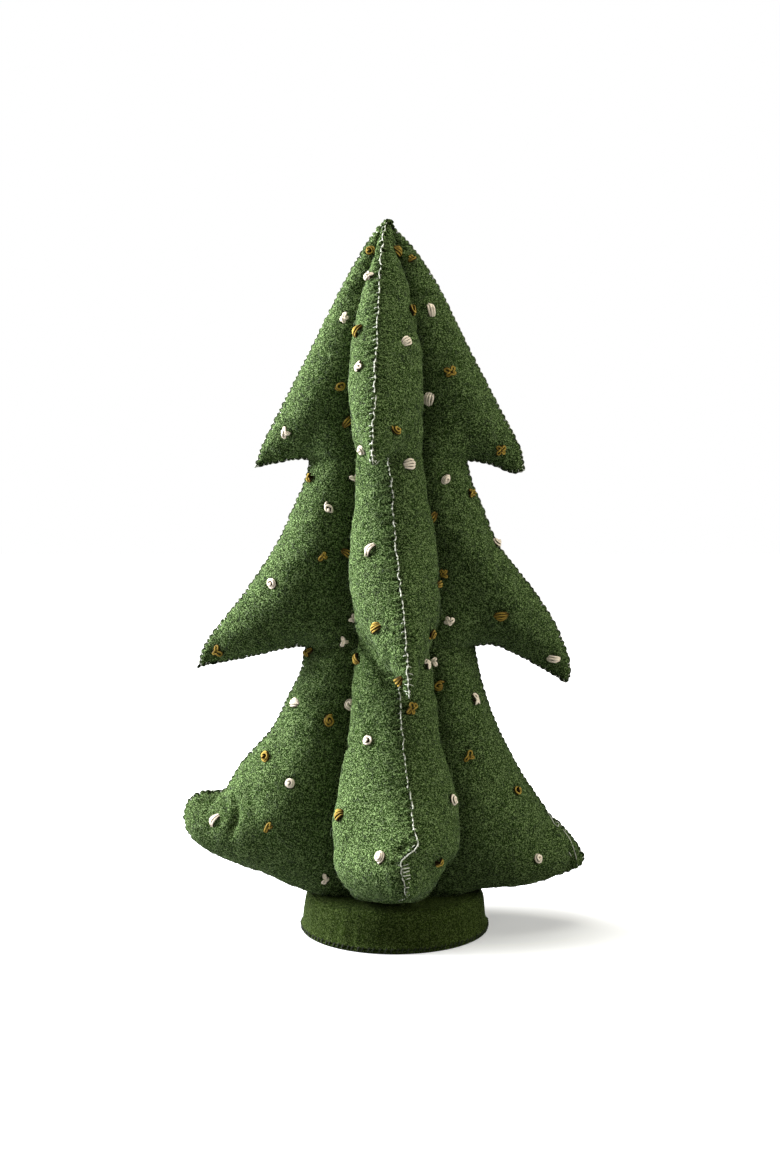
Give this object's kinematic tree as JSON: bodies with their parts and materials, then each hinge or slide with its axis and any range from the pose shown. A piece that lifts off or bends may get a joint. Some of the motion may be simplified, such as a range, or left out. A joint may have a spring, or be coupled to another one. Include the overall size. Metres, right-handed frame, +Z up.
{
  "type": "felt tabletop tree",
  "caption": "Stuffed wool-felt tree with radial wings in tiers, blanket-stitched edges, yarn knots and a round felt-covered foot.",
  "frame": {"origin": "centre of the foot's underside, on the surface that the tree stands on", "axes": "+Z up the tree's axis, -Y along the front wing, +X along the right wing"},
  "size_m": [0.22, 0.2146, 0.3816],
  "materials": {
    "green_felt": "matt mottled wool felt",
    "foot_felt": "matt mottled wool felt, darker",
    "stuffing_fibre": "loose white fibre fill",
    "sage_thread": "matt cotton sewing thread",
    "pale_wood": "sanded, unfinished"
  },
  "bodies": {
    "root": {"felt_panel_back_right": "green_felt", "felt_panel_back_left": "green_felt", "felt_panel_front_left": "green_felt", "felt_panel_front_right": "green_felt", "stuffing_right_wing": "stuffing_fibre", "stuffing_back_wing": "stuffing_fibre", "stuffing_left_wing": "stuffing_fibre", "stuffing_front_wing": "stuffing_fibre", "edge_thread_right_wing": "sage_thread", "edge_thread_back_wing": "sage_thread", "edge_thread_left_wing": "sage_thread", "edge_thread_front_wing": "sage_thread", "centre_dowel": "pale_wood", "foot_felt_band": "foot_felt", "foot_felt_cover": "foot_felt", "foot_felt_underside": "foot_felt", "foot_weight": "pale_wood", "foot_rim_thread": "sage_thread"}
  },
  "joints": []
}
